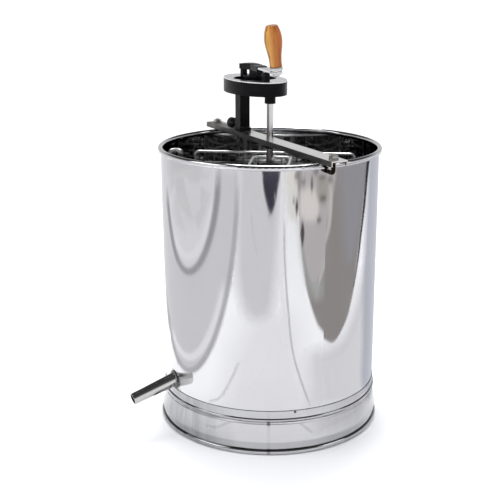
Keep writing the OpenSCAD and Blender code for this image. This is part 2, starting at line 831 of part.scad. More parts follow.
drum_shell();
rim_wire();
drum_bottom();
base_skirt();
skirt_rivets();
outlet_spout();
pivot_cup();
pivot_ball();
crossbar();
bar_bush();
hook_bolts();
hook_washers();
hook_nuts();
post_spigot();
gear_bracket();
cover_plate();
cover_screws();
oil_lug();
lug_screw();
housing_bush();
gear_axle();
axle_washer();
axle_screw();
thumb_screw();
crank_gear();
gear_bush();
crank_yoke();
yoke_screws();
crank_arm();
arm_pin();
grip_collar();
grip_spindle();
spindle_nut();
wood_grip();
grip_sleeve();
grip_ferrule();
basket_shaft();
pinion();
pinion_key();
top_hub();
bottom_hub();
hub_screws();
core_rings();
core_uprights();
panel_frame_a();
panel_frame_b();
panel_mesh_a();
panel_mesh_b();
end_ties();
spoke_wires();
floor_wires();
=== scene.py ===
"""Looks and studio for a hand-cranked honey extractor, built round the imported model."""

import json
import math

import bpy
from mathutils import Matrix, Vector


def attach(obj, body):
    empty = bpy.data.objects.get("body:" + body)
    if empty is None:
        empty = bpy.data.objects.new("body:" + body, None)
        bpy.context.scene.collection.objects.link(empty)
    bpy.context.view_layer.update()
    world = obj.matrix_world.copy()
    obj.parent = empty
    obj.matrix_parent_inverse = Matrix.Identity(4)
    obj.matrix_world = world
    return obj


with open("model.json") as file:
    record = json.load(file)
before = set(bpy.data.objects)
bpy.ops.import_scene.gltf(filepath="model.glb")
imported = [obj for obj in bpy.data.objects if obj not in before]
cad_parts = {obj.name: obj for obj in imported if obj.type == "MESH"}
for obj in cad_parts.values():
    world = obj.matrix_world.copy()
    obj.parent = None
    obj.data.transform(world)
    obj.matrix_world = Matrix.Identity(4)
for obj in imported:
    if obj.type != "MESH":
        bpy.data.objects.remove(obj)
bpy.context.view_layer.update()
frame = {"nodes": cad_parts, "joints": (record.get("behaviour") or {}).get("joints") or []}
nodes = frame["nodes"]

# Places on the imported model, in metres and degrees
DRUM_R = 0.19
OUTLET_Z = 0.093
OUTLET_R = 0.0135
BEAD_Z = 0.056
BEAD_CREASE_Z = 0.0583
FOOT_CREASE_Z = 0.0096
LAP_Z = 0.0776
SEAM_TURN = -28.5
BAR_HALF = 0.015
BAR_LOW = 0.504

# Where the viewer stands and how they look at the drum
VIEWER = Vector((1.5627, -0.8525, 0.8128))
VIEW_TURN = 62.5
VIEW_TILT = 15.92
LENS = 74.25
SENSOR = 36
TOWARDS_VIEWER = Vector((VIEWER.x, VIEWER.y, 0)).normalized()

# ---------------------------------------------------------------- small helpers


class Mat:
    """A node-based material, with short calls for the nodes used here."""

    def __init__(self, name, **sockets):
        self.mat = bpy.data.materials.new(name)
        self.mat.use_nodes = True
        self.tree = self.mat.node_tree
        self.bsdf = self.tree.nodes["Principled BSDF"]
        self.coord = self.tree.nodes.new("ShaderNodeTexCoord").outputs["Object"]
        for key, value in sockets.items():
            self.bsdf.inputs[key.replace("_", " ")].default_value = value

    def put(self, kind, **sockets):
        node = self.tree.nodes.new(kind)
        for key, value in sockets.items():
            self.feed(node.inputs[key.replace("_", " ")], value)
        return node

    def feed(self, socket, value):
        if isinstance(value, bpy.types.NodeSocket):
            self.tree.links.new(value, socket)
        else:
            socket.default_value = value

    def mapped(self, scale=(1, 1, 1), matrix=None):
        """Object coordinates, turned into a local frame if one is given, then stretched."""
        source = self.coord
        if matrix is not None:
            source = self.put("ShaderNodeMapping", Vector=source, Location=matrix.to_translation(),
                              Rotation=matrix.to_euler("XYZ")).outputs[0]
        return self.put("ShaderNodeMapping", Vector=source, Scale=scale).outputs[0]

    def noise(self, scale, detail=3.0, rough=0.55, stretch=(1, 1, 1), matrix=None, distort=0.0):
        node = self.put("ShaderNodeTexNoise", Vector=self.mapped(stretch, matrix), Scale=scale,
                        Detail=detail, Roughness=rough, Distortion=distort)
        return node.outputs["Fac"]

    def ramp(self, fac, stops):
        """Colour ramp from (position, colour) stops; a plain number is a grey."""
        node = self.put("ShaderNodeValToRGB", Fac=fac)
        band = node.color_ramp
        while len(band.elements) < len(stops):
            band.elements.new(0.5)
        for element, (at, value) in zip(band.elements, stops):
            element.position = at
            element.color = (value, value, value, 1) if isinstance(value, (int, float)) else (*value, 1)
        return node.outputs["Color"]

    def span(self, fac, low, high, out_low, out_high, smooth=False):
        node = self.put("ShaderNodeMapRange")
        node.interpolation_type = "SMOOTHSTEP" if smooth else "LINEAR"
        for i, value in enumerate((fac, low, high, out_low, out_high)):
            self.feed(node.inputs[i], value)
        return node.outputs["Result"]

    def math(self, kind, a, b=0.0):
        node = self.put("ShaderNodeMath")
        node.operation = kind
        self.feed(node.inputs[0], a)
        self.feed(node.inputs[1], b)
        return node.outputs[0]

    def times(self, a, b):
        return self.math("MULTIPLY", a, b)

    def greater(self, a, b):
        return self.math("MAXIMUM", a, b)

    def near(self, value, place):
        """How far a value is from a place, either way."""
        return self.math("ABSOLUTE", self.math("SUBTRACT", value, place))

    def axis(self, name, source=None):
        return self.put("ShaderNodeSeparateXYZ", Vector=source or self.coord).outputs[name]

    def vector(self, kind, source, other=(0, 0, 0)):
        node = self.put("ShaderNodeVectorMath")
        node.operation = kind
        self.feed(node.inputs[0], source)
        self.feed(node.inputs[1], other)
        return node.outputs["Value"]

    def mix(self, fac, a, b):
        node = self.put("ShaderNodeMix")
        node.data_type = "RGBA"
        for i, value in ((0, fac), (6, a), (7, b)):
            self.feed(node.inputs[i], (*value, 1) if isinstance(value, tuple) else value)
        return node.outputs[2]

    def bump(self, height, distance, normal=None):
        node = self.put("ShaderNodeBump", Height=height, Distance=distance, Strength=1.0)
        if normal is not None:
            self.feed(node.inputs["Normal"], normal)
        return node.outputs["Normal"]

    def soft_edges(self, radius):
        """(rounded normal, 0..1 mask that is high along sharp edges)"""
        bevel = self.put("ShaderNodeBevel", Radius=radius)
        bevel.samples = 4
        flat = self.put("ShaderNodeNewGeometry").outputs["Normal"]
        alike = self.vector("DOT_PRODUCT", bevel.outputs[0], flat)
        return bevel.outputs[0], self.span(alike, 0.999, 0.93, 0.0, 1.0)

    def out(self, **sockets):
        for key, value in sockets.items():
            self.feed(self.bsdf.inputs[key.replace("_", " ")], value)
        return self.mat


def dimmed(tint, share):
    return tuple(min(1, c * share) for c in tint)


def wear(names, material):
    """Gives CAD nodes one material each, in place of the plain ones."""
    for name in names.split():
        mesh = nodes[name].data
        mesh.materials.clear()
        mesh.materials.append(material)


# ---------------------------------------------------------------- materials


def sheet_steel(name, tint, wobble=1.0, haze=0.0, seam=False, scorched=False):
    """Bright rolled stainless sheet: long rolling lines, slight waves, smears and fine scratches."""
    m = Mat(name, Metallic=1.0, IOR=2.5)
    lines = m.noise(900, 2, 0.5, (1, 1, 0.012))
    waves = m.noise(5.5, 2, 0.4, (1, 1, 0.5))
    smears = m.noise(14, 4, 0.6, (1, 1, 0.6), distort=0.6)
    hair = m.noise(260, 3, 0.7, (1, 1, 0.15), distort=0.3)
    tone = m.ramp(smears, [(0.25, dimmed(tint, 0.955)), (0.7, tint)])
    tone = m.mix(m.span(lines, 0.3, 0.75, 0.0, 0.35), tone, dimmed(tint, 0.94))
    if seam:
        tone = m.mix(seam_mask(m), tone, (0.10, 0.06, 0.07))
        # Painted shade in the creases by the bead and the rolled foot, and a dark line at the lap.
        tone = m.mix(crease_shade_and_lap_line(m), tone, (0.05, 0.05, 0.052))
        # Painted shade: the skirt darker towards its left and right sides.
        tone = m.mix(side_shade_runs(m), tone, dimmed(tint, 0.45))
    rough = m.span(smears, 0.3, 0.75, 0.035 + haze, 0.08 + haze)
    rough = m.math("ADD", rough, m.span(hair, 0.62, 0.8, 0.0, 0.10))
    if scorched:
        burnt = scorch(m)
        flecks = m.span(m.noise(420, 3, 0.7), 0.4, 0.6, 0.95, 0.45)
        tone = m.mix(m.times(burnt, flecks), tone, (0.075, 0.072, 0.07))
        rough = m.math("ADD", rough, m.times(burnt, 0.22))
    normal = m.bump(waves, 0.00045 * wobble)
    normal = m.bump(lines, 0.000004, normal)
    return m.out(Base_Color=tone, Roughness=rough, Normal=normal)


def scorch(m):
    """The matt, blotchy ring that soldering left on the wall round the outlet."""
    away = m.vector("DISTANCE", m.coord, (0.006, -DRUM_R, OUTLET_Z))
    ragged = m.span(m.noise(150, 4, 0.6), 0.3, 0.7, -0.005, 0.005)
    return m.span(m.math("ADD", away, ragged), 0.016, 0.021, 1.0, 0.0)


def seam_mask(m):
    """High along the welded seam down the base skirt, most of all in its groove and at its sole."""
    turn = math.radians(SEAM_TURN)
    side = m.math("ABSOLUTE", m.vector("DOT_PRODUCT", m.coord, (-math.sin(turn), math.cos(turn), 0)))
    line = m.span(side, 0.0008, 0.0045, 1.0, 0.0, True)
    front = m.span(m.axis("X"), 0.1, 0.12, 0.0, 1.0)
    z = m.axis("Z")
    groove = m.span(m.near(z, BEAD_Z), 0.002, 0.006, 1.0, 0.0)
    sole = m.span(z, 0.010, 0.013, 1.0, 0.0)
    level = m.greater(m.greater(groove, sole), 0.14)
    patchy = m.span(m.noise(70, 3), 0.3, 0.7, 0.4, 1.0)
    return m.times(m.times(line, front), m.times(level, patchy))


def side_shade_runs(m):
    """Painted shade: the skirt darker towards its left and right sides, at turns of -84° and 36° and most at
    -84° below the outlet, broken into runs down the skirt.
    """
    runs = m.span(m.noise(60, 4, 0.65, (1, 1, 0.12), distort=0.4), 0.35, 0.65, 0.55, 1.0)
    darker_sides = 0.0
    for turn, most in ((-84, 0.85), (36, 0.4)):
        outward = (math.cos(math.radians(turn)), math.sin(math.radians(turn)), 0)
        side = m.vector("DOT_PRODUCT", m.coord, outward)
        darker_sides = m.greater(darker_sides, m.span(side, 0.150, 0.186, 0.0, most))
    return m.times(darker_sides, runs)


def crease_shade_and_lap_line(m):
    """Painted shade high in the narrow creases under the raised bead and over the rolled foot, and a dark
    joint line along the lap.
    """
    z = m.axis("Z")
    dimming = m.span(m.noise(26, 3, 0.6), 0.3, 0.6, 0.45, 1.0)
    under = m.span(m.near(z, BEAD_CREASE_Z), 0.0007, 0.0019, 0.9, 0.0, True)
    foot = m.span(m.near(z, FOOT_CREASE_Z), 0.0006, 0.0016, 0.85, 0.0, True)
    lap = m.span(m.near(z, LAP_Z), 0.0003, 0.0009, 0.8, 0.0, True)
    return m.times(m.greater(m.greater(under, foot), lap), dimming)


def machined(name, tint, rough, grain=(1, 1, 1), edge=0.0005, dirt=0.25, stain_and_shade=None,
             stain_and_shade_tint=None, edge_shade=0.0):
    """Plated or turned steel: cloudy plating, fine tool lines, sharp edges that wear brightens unless painted
    shade darkens them, and an optional darker mask for stains and painted shade.
    """
    m = Mat(name, Metallic=1.0)
    rounded, edges = m.soft_edges(edge)
    cloud = m.noise(60, 4, 0.6)
    lines = m.noise(1400, 2, 0.5, grain)
    spots = m.noise(240, 5, 0.7)
    tone = m.ramp(cloud, [(0.3, dimmed(tint, 0.86)), (0.7, tint)])
    tone = m.mix(m.span(spots, 0.62, 0.8, 0.0, dirt), tone, dimmed(tint, 0.45))
    # Painted shade darkening the sharp edges.
    if edge_shade:
        tone = m.mix(m.times(edges, edge_shade), tone, dimmed(tint, 0.10))
    else:
        tone = m.mix(m.times(edges, 0.5), tone, dimmed(tint, 1.15))
    r = m.span(cloud, 0.25, 0.75, rough * 0.75, rough * 1.35)
    r = m.math("ADD", r, m.span(spots, 0.6, 0.85, 0.0, 0.12))
    # A darker, rougher mask: stains along the shaft, painted shade on the crossbar's sides and under the
    # crossbar.
    if stain_and_shade:
        dimming = stain_and_shade(m)
        tone = m.mix(dimming, tone, stain_and_shade_tint or dimmed(tint, 0.16))
        r = m.math("ADD", r, m.times(dimming, 0.34))
    return m.out(Base_Color=tone, Roughness=r, Normal=m.bump(lines, 0.00001, rounded))


def bar_shade_and_dark_end(m):
    """Painted shade on the crossbar's long sides, and a darker, blotchy far end of its top."""
    y = m.axis("Y")
    streak = m.span(m.noise(40, 4, 0.6, (0.2, 1, 1)), 0.3, 0.7, 0.8, 1.0)
    sides = m.span(m.math("ABSOLUTE", y), BAR_HALF - 0.0007, BAR_HALF - 0.0002, 0.0, 1.0)
    far_end = m.span(m.axis("X"), -0.11, -0.06, 1.0, 0.0)
    near_edge = m.span(y, 0.003, 0.009, 0.92, 0.35)
    blotches = m.span(m.noise(120, 4, 0.6), 0.3, 0.6, 0.75, 1.0)
    dark_end = m.times(m.times(far_end, near_edge), blotches)
    return m.greater(m.times(sides, streak), dark_end)


def oil_streaks(m):
    """High along the dark streaks that run down the shaft."""
    return m.span(m.noise(230, 2, 0.5, (1, 1, 0.008)), 0.46, 0.62, 0.0, 0.85)


def shade_under_bar(m):
    """Painted shade: high on the part of the hook bolts that hangs under the crossbar, in dark brown."""
    return m.span(m.axis("Z"), BAR_LOW + 0.0005, BAR_LOW - 0.0005, 0.0, 1.0)


def enamel(name):
    """Black enamel over a casting: orange peel, dust on top, a painted highlight along sharp edges and bare
    metal just showing on them.
    """
    m = Mat(name, Coat_Weight=0.02, Coat_Roughness=0.12, Specular_IOR_Level=0.07)
    black = (0.0022, 0.0022, 0.0030)
    rounded, edges = m.soft_edges(0.0009)
    peel = m.noise(420, 3, 0.5)
    cast = m.noise(90, 4, 0.6)
    chips = m.noise(350, 4, 0.7)
    dust = m.noise(45, 5, 0.65)
    bare = m.times(m.span(edges, 0.35, 0.9, 0.0, 1.0), m.span(chips, 0.54, 0.66, 0.0, 1.0))
    tone = m.ramp(cast, [(0.3, black), (0.75, dimmed(black, 1.9))])
    tone = m.mix(m.span(dust, 0.55, 0.8, 0.0, 0.05), tone, (0.12, 0.11, 0.10))
    # Painted highlight: paler sharp edges.
    tone = m.mix(m.times(edges, 0.35), tone, (0.05, 0.05, 0.055))
    tone = m.mix(bare, tone, (0.26, 0.25, 0.24))
    rough = m.span(dust, 0.3, 0.8, 0.24, 0.42)
    normal = m.bump(m.math("ADD", m.times(peel, 0.3), cast), 0.00022, rounded)
    return m.out(Base_Color=tone, Roughness=rough, Normal=normal)


def bronze(name):
    """Plain bearing bronze, cloudy and with oil stains."""
    m = Mat(name, Metallic=1.0)
    rounded, _ = m.soft_edges(0.0004)
    cloud = m.noise(90, 4, 0.6)
    oil = m.noise(40, 3, 0.6)
    tone = m.ramp(cloud, [(0.3, (0.36, 0.23, 0.10)), (0.7, (0.58, 0.41, 0.20))])
    tone = m.mix(m.span(oil, 0.5, 0.75, 0.0, 0.45), tone, (0.10, 0.07, 0.04))
    rough = m.span(cloud, 0.3, 0.7, 0.22, 0.42)
    return m.out(Base_Color=tone, Roughness=rough, Normal=m.bump(cloud, 0.00006, rounded))


def knob_black(name):
    """Moulded black knob with finger smears and slightly greyed edges."""
    m = Mat(name, Coat_Weight=0.2, Coat_Roughness=0.06, Specular_IOR_Level=0.25)
    rounded, edges = m.soft_edges(0.0004)
    smear = m.noise(120, 4, 0.6)
    tone = m.ramp(smear, [(0.3, (0.008, 0.008, 0.010)), (0.75, (0.022, 0.022, 0.025))])
    tone = m.mix(m.times(edges, 0.4), tone, (0.07, 0.07, 0.075))
    rough = m.span(smear, 0.3, 0.75, 0.14, 0.32)
    return m.out(Base_Color=tone, Roughness=rough, Normal=m.bump(smear, 0.00005, rounded))


def grip_frame():
    """Row frame to the grip's own frame, with Z along the grip."""
    grip = next(j for j in frame["joints"] if j["name"] == "grip_spin")
    z = Vector(grip["axis"]).normalized()
    x = Vector((1, 0, 0)).cross(z).normalized()
    y = z.cross(x)
    turn = Matrix((x, y, z)).to_4x4()
    return turn @ Matrix.Translation(-Vector(grip["pos_m"]))


def lacquered_wood(name):
    """Turned hardwood under clear honey lacquer, its grain running along the grip; painted light on one side,
    painted shade on the other and round its foot.
    """
    m = Mat(name, Coat_Weight=0.35, Coat_Roughness=0.06, Coat_IOR=1.4, Specular_IOR_Level=0.2)
    local = grip_frame()
    bands = m.noise(30, 3, 0.5, (1, 1, 0.10), local, distort=1.2)
    fibre = m.noise(520, 4, 0.6, (1, 1, 0.035), local)
    pores = m.noise(900, 2, 0.5, (1, 1, 0.05), local)
    warm = m.noise(22, 2, 0.5, (1, 1, 0.4), local)
    tone = m.ramp(bands, [(0.36, (0.33, 0.085, 0.012)), (0.5, (0.43, 0.135, 0.022)),
                          (0.64, (0.58, 0.250, 0.055))])
    tone = m.mix(m.span(fibre, 0.35, 0.7, 0.0, 0.40), tone, (0.36, 0.095, 0.014))
    tone = m.mix(m.span(pores, 0.64, 0.74, 0.0, 0.55), tone, (0.20, 0.070, 0.020))
    tone = m.mix(m.span(warm, 0.35, 0.7, 0.0, 0.25), tone, (0.60, 0.29, 0.07))
    place = m.mapped((1, 1, 1), local)
    along = m.axis("Z", place)
    # Painted light on one side of the grip and painted shade on the other, across it in its own frame.
    across = m.vector("DOT_PRODUCT", place, (0.887, -0.46, 0))
    lit_side = m.math("ADD", across, m.span(bands, 0.3, 0.7, -0.006, 0.006))
    tone = m.mix(m.span(lit_side, -0.003, 0.010, 0.0, 0.72, True), tone, (0.66, 0.36, 0.085))
    tone = m.mix(m.span(lit_side, -0.004, -0.013, 0.0, 0.55, True), tone, (0.36, 0.085, 0.014))
    dark_grain = m.noise(150, 3, 0.6, (1, 1, 0.05), local, distort=0.5)
    tone = m.mix(m.span(dark_grain, 0.52, 0.60, 0.0, 0.75), tone, (0.17, 0.045, 0.008))
    # Painted shade round the grip's foot, where it meets the collar; the top end is darker too.
    tone = m.mix(m.span(along, 0.0095, 0.0125, 0.75, 0.0, True), tone, (0.16, 0.05, 0.015))
    tone = m.mix(m.span(along, 0.0775, 0.0705, 0.35, 0.0, True), tone, (0.30, 0.12, 0.03))
    rough = m.span(fibre, 0.3, 0.7, 0.28, 0.42)
    normal = m.bump(m.math("SUBTRACT", fibre, m.times(pores, 0.4)), 0.00006)
    return m.out(Base_Color=tone, Roughness=rough, Normal=normal)


wear("drum_shell", sheet_steel("drum_steel", (0.605, 0.605, 0.615), scorched=True))
wear("drum_bottom", sheet_steel("floor_steel", (0.58, 0.58, 0.59), wobble=0.6, haze=0.04))
wear("base_skirt", sheet_steel("skirt_steel", (0.53, 0.53, 0.54), wobble=0.9, seam=True))
wear("outlet_spout", sheet_steel("spout_steel", (0.60, 0.59, 0.58), wobble=0.2, haze=0.03))
wear("cover_plate", machined("plate_steel", (0.74, 0.74, 0.75), 0.20, edge=0.0006, dirt=0.15))
# Painted shade on the crossbar's long sides and along its sharp edges.
wear("crossbar", machined("bar_zinc", (0.86, 0.85, 0.83), 0.17, grain=(0.02, 1, 1), edge=0.0006, dirt=0.2,
                          stain_and_shade=bar_shade_and_dark_end, stain_and_shade_tint=(0.045, 0.042, 0.038), edge_shade=0.25))
# Painted shade under the crossbar and along the bolts' sharp edges.
wear("hook_bolts hook_nuts hook_washers bar_bush",
     machined("bolt_zinc", (0.40, 0.39, 0.37), 0.28, edge=0.0010, dirt=0.6,
              stain_and_shade=shade_under_bar, stain_and_shade_tint=(0.016, 0.011, 0.008), edge_shade=0.9))
wear("basket_shaft grip_spindle gear_axle",
     machined("shaft_steel", (0.62, 0.61, 0.60), 0.16, grain=(1, 1, 0.03), edge=0.0004, stain_and_shade=oil_streaks))
# Painted shade along the arm's sharp edges.
wear("crank_arm arm_pin",
     machined("arm_steel", (0.66, 0.66, 0.67), 0.22, edge=0.0010, dirt=0.4, edge_shade=0.85))
wear("yoke_screws cover_screws lug_screw axle_screw axle_washer post_spigot",
     machined("screw_steel", (0.60, 0.60, 0.61), 0.26, edge=0.0006))
# Painted shade along the sharp edges of the collar, ferrule and nut.
wear("grip_collar grip_ferrule spindle_nut",
     machined("collar_chrome", (0.78, 0.78, 0.79), 0.10, edge=0.0009, dirt=0.3, edge_shade=0.95))
wear("pinion pinion_key hub_screws pivot_ball rim_wire", machined("cut_steel", (0.50, 0.49, 0.47), 0.30))
wear("skirt_rivets", machined("rivet_steel", (0.16, 0.15, 0.15), 0.30))
wear("gear_bracket oil_lug crank_yoke crank_gear", enamel("black_enamel"))
wear("thumb_screw", knob_black("knob_black"))
wear("housing_bush gear_bush grip_sleeve pivot_cup", bronze("bush_bronze"))
wear("wood_grip", lacquered_wood("grip_wood"))
wear("top_hub bottom_hub core_rings core_uprights panel_frame_a panel_frame_b",
     machined("basket_wire", (0.95, 0.95, 0.94), 0.32, edge=0.0004, dirt=0.15))
# A darker copy of the basket wire for the mesh, ties, spokes and floor wires: painted shade.
wear("panel_mesh_a panel_mesh_b end_ties spoke_wires floor_wires",
     machined("shaded_mesh_wire", (0.24, 0.24, 0.235), 0.34, edge=0.0003, dirt=0.3))

# ---------------------------------------------------------------- details the CAD leaves out


def solder(name):
    """Grey solder with a lumpy skin and dark flux left in its hollows."""
    m = Mat(name, Metallic=1.0)
    lumps = m.noise(320, 4, 0.6)
    flux = m.noise(140, 3, 0.6)
    tone = m.ramp(lumps, [(0.35, (0.10, 0.10, 0.105)), (0.6, (0.38, 0.38, 0.39))])
    tone = m.mix(m.span(flux, 0.5, 0.65, 0.0, 0.7), tone, (0.04, 0.035, 0.03))
    rough = m.span(lumps, 0.3, 0.7, 0.28, 0.5)
    return m.out(Base_Color=tone, Roughness=rough, Normal=m.bump(lumps, 0.0006))


def spout_solder():
    """Lumpy bead of solder round the outlet's root, laid on the curved wall."""
    around, section = 64, 8
    points, faces = [], []
    for i in range(around):
        a = math.tau * i / around
        lump = 0.0021 + 0.0005 * math.sin(5 * a) + 0.0004 * math.sin(11 * a + 1)
        for k in range(section):
            b = math.tau * k / section
            r = OUTLET_R + 0.8 * lump * math.cos(b)
            x = r * math.cos(a)
            y = -math.sqrt(DRUM_R ** 2 - x * x) - 0.0002 - 0.5 * lump * (1 + math.sin(b))
            points.append((x, y, OUTLET_Z + r * math.sin(a) * 1.04))
            n, j = (k + 1) % section, (i + 1) % around
            faces.append((section * i + k, section * i + n, section * j + n, section * j + k))
    bead = mesh_object("spout_solder", points, faces, solder("solder"))
    for face in bead.data.polygons:
        face.use_smooth = True
    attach(bead, "drum")


# ---------------------------------------------------------------- studio


def glow(name, colour):
    """Plain glowing tone for a card that thins out where its fade is low: a painted reflection for the steel
    to show.
    """
    mat = bpy.data.materials.new(name)
    mat.use_nodes = True
    tree = mat.node_tree
    tree.nodes.clear()
    out, emit, clear, fade, mix = (tree.nodes.new("ShaderNode" + kind) for kind in (
        "OutputMaterial", "Emission", "BsdfTransparent", "Attribute", "MixShader"))
    emit.inputs["Color"].default_value = (*colour, 1)
    fade.attribute_name = "fade"
    for start, end in ((fade.outputs["Fac"], mix.inputs[0]), (clear.outputs[0], mix.inputs[1]),
                       (emit.outputs[0], mix.inputs[2]), (mix.outputs[0], out.inputs[0])):
        tree.links.new(start, end)
    return mat


def mesh_object(name, points, faces, material, fade=None):
    mesh = bpy.data.meshes.new(name)
    mesh.from_pydata(points, [], faces)
    mesh.materials.append(material)
    if fade is not None:
        layer = mesh.attributes.new("fade", "FLOAT", "POINT")
        layer.data.foreach_set("value", fade)
    obj = bpy.data.objects.new(name, mesh)
    bpy.context.scene.collection.objects.link(obj)
    return obj


def only_in_reflections(obj):
    """Leaves a piece of the studio to be seen in the polished steel alone."""
    for ray in ("camera", "diffuse", "shadow", "transmission", "volume_scatter"):
        setattr(obj, "visible_" + ray, False)


def smooth_line(points, steps=8):
    """Points along a curve through the given ones."""
    pts = [Vector(p) for p in points]
    pts = [2 * pts[0] - pts[1]] + pts + [2 * pts[-1] - pts[-2]]
    line = []
    for i in range(1, len(pts) - 2):
        a, b, c, d = pts[i - 1:i + 3]
        for k in range(steps):
            t = k / steps
            line.append(0.5 * (2 * b + (c - a) * t + (2 * a - 5 * b + 4 * c - d) * t ** 2
                               + (3 * b - a - 3 * c + d) * t ** 3))
    return line + [pts[-2]]


def unrolled(points):
    """(turn in degrees, height) places on the drum's wall as flat points in metres."""
    return [Vector((DRUM_R * math.radians(turn), height, 0)) for turn, height in points]


def shown_at(spot, level):
    """The place near the floor that the wall mirrors towards the viewer at a flat wall point."""
    turn = spot.x / DRUM_R
    out = Vector((math.cos(turn), math.sin(turn), 0))
    start = DRUM_R * out + Vector((0, 0, spot.y))
    ray = (start - VIEWER).normalized()
    ray -= 2 * ray.dot(out) * out
    hit = start + ray * ((level - spot.y) / ray.z)
    return hit.x, hit.y, level


def seen_patch(name, outline, colour, level, soft=0.003, depth=1.0):
    """A tone that the drum's wall shows inside this outline, with soft edges."""
    ring = smooth_line(unrolled(outline + outline[:1]), 6)[:-1]
    area = sum(a.x * b.y - b.x * a.y for a, b in zip(ring, ring[1:] + ring[:1]))
    side = soft if area > 0 else -soft
    inner, outer = [], []
    for i, p in enumerate(ring):
        along = (ring[(i + 1) % len(ring)] - ring[i - 1]).normalized()
        away = Vector((along.y, -along.x, 0)) * side
        inner.append(shown_at(p - away, level))
        outer.append(shown_at(p + away, level))
    n = len(ring)
    faces = [tuple(range(n))] + [(i, (i + 1) % n, n + (i + 1) % n, n + i) for i in range(n)]
    fade = [depth] * n + [0.0] * n
    only_in_reflections(mesh_object(name, inner + outer, faces, glow(name, colour), fade))


def seen_line(name, path, width, colour, level, depth=1.0):
    """A soft-edged band that the drum's wall shows along this path; width is its half width at each end."""
    line = smooth_line(unrolled(path))
    points, faces, fade = [], [], []
    for i, p in enumerate(line):
        along = (line[min(i + 1, len(line) - 1)] - line[max(i - 1, 0)]).normalized()
        side = Vector((-along.y, along.x, 0))
        part = i / (len(line) - 1)
        w = width[0] + (width[1] - width[0]) * part
        ends = min(1.0, 12 * min(part, 1 - part))
        for k, f in ((-1, 0), (-0.35, depth), (0.35, depth), (1, 0)):
            points.append(shown_at(p + side * w * k, level))
            fade.append(f * ends)
        if i:
            for k in range(3):
                a = 4 * (i - 1) + k
                faces.append((a, a + 1, a + 5, a + 4))
    only_in_reflections(mesh_object(name, points, faces, glow(name, colour), fade))


def pale_floor():
    """White backdrop paper, a little greyer close to the drum and paler far off: painted light that keeps the
    far floor white.
    """
    m = Mat("pale_floor", Roughness=0.9, Specular_IOR_Level=0.1)
    cloth = m.noise(3.0, 4, 0.5)
    # Painted light: paler from a metre and a half out to four metres from the drum.
    away = m.span(m.vector("LENGTH", m.coord), 1.5, 4.0, 0.0, 1.0)
    close = m.ramp(cloth, [(0.3, (0.87, 0.875, 0.895)), (0.7, (0.89, 0.895, 0.915))])
    m.out(Base_Color=m.mix(away, close, (0.985, 0.985, 0.99)), Normal=m.bump(cloth, 0.002))
    size = 30
    corners = [(x * size, y * size, 0) for x, y in ((-1, -1), (1, -1), (1, 1), (-1, 1))]
    mesh_object("floor", corners, [(0, 1, 2, 3)], m.mat)


def hanging_arc(middle, half, low, deep, start, end, rise=0.0):
    """Places along an ellipse's lower side, between two angles counted from its right end."""
    angles = [math.radians(start + (end - start) * i / 10) for i in range(11)]
    return [(middle + half * math.cos(a), low + deep * (1 - math.sin(a)) + rise) for a in angles]


# Each place below is (degrees round the wall from +X, height in metres). The points were picked on the
# photo's reflections, worked out as places on the wall and rounded. The two long folds are arcs instead.
# Cards that overlap lie at different levels, so that they don't share a plane.


